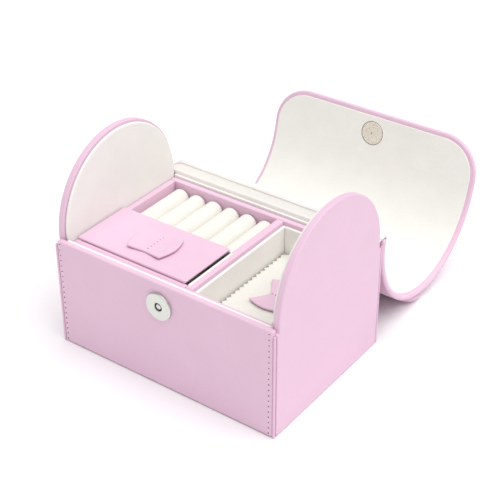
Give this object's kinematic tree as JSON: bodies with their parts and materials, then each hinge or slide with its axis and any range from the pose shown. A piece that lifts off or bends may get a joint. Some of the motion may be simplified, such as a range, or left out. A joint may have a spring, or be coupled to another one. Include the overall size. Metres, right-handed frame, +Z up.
{
  "type": "jewellery case",
  "caption": "Arched leather jewellery case with a swing-over lid, lift-out ring tray, covered earring bay, velvet well and magnetic snap, shown open.",
  "frame": {"origin": "on the underside of the base, under the middle of the box", "axes": "+X right along the front, +Y from the front to the hinge, +Z up"},
  "size_m": [0.16, 0.2409, 0.128],
  "materials": {
    "pink_leather": "satin fine-grained pink leather",
    "white_velvet": "short-pile off-white velvet",
    "snap_metal": "satin nickel plate",
    "inner_card": "matt stiffening board"
  },
  "bodies": {
    "case": {"front_panel": "pink_leather", "back_panel": "pink_leather", "left_end_panel": "pink_leather", "right_end_panel": "pink_leather", "base_board": "pink_leather", "front_lining": "white_velvet", "back_lining": "white_velvet", "left_lining": "white_velvet", "right_lining": "white_velvet", "floor_lining": "white_velvet", "front_ledge": "white_velvet", "back_ledge": "white_velvet", "hinge_roll": "white_velvet", "snap_socket": "snap_metal", "closure_magnet": "snap_metal"},
    "lid": {"lid_shell": "pink_leather", "strap_lining": "pink_leather", "strap_leather": "pink_leather", "lid_lining": "white_velvet", "lid_snap_plate": "snap_metal", "strap_rivets": "snap_metal"},
    "tray": {"tray_front_wall": "pink_leather", "tray_back_wall": "pink_leather", "tray_left_wall": "pink_leather", "tray_right_wall": "pink_leather", "tray_divider": "pink_leather", "tray_floor": "inner_card", "tray_cross_wall": "white_velvet", "earring_pad": "white_velvet", "ring_roll_1": "white_velvet", "ring_roll_2": "white_velvet", "ring_roll_3": "white_velvet", "ring_roll_4": "white_velvet", "ring_roll_5": "white_velvet", "ring_roll_6": "white_velvet", "well_left_wall": "white_velvet", "well_right_wall": "white_velvet", "well_front_wall": "white_velvet", "well_back_wall": "white_velvet", "well_floor": "white_velvet", "cover_front_rest": "white_velvet", "cover_back_rest": "white_velvet"},
    "bay_lid": {"bay_lid_board": "pink_leather", "bay_bow": "pink_leather", "bay_lid_pad": "white_velvet"},
    "well_cover": {"cover_board": "inner_card", "cover_velvet": "white_velvet", "cover_bow": "pink_leather"}
  },
  "joints": [
    {"name": "lid_hinge", "type": "hinge", "parent": "case", "child": "lid", "pos_m": [0, 0.058, 0.0775], "axis": [1, 0, 0], "range_deg": [0, 192]},
    {"name": "tray_lift", "type": "slide", "parent": "case", "child": "tray", "axis": [0, 0, 1], "range_m": [0, 0.026]},
    {"name": "bay_lid_lift", "type": "slide", "parent": "tray", "child": "bay_lid", "axis": [0, 0, 1], "range_m": [0, 0.01]},
    {"name": "cover_lift", "type": "slide", "parent": "tray", "child": "well_cover", "axis": [0, 0, 1], "range_m": [0, 0.02]}
  ]
}
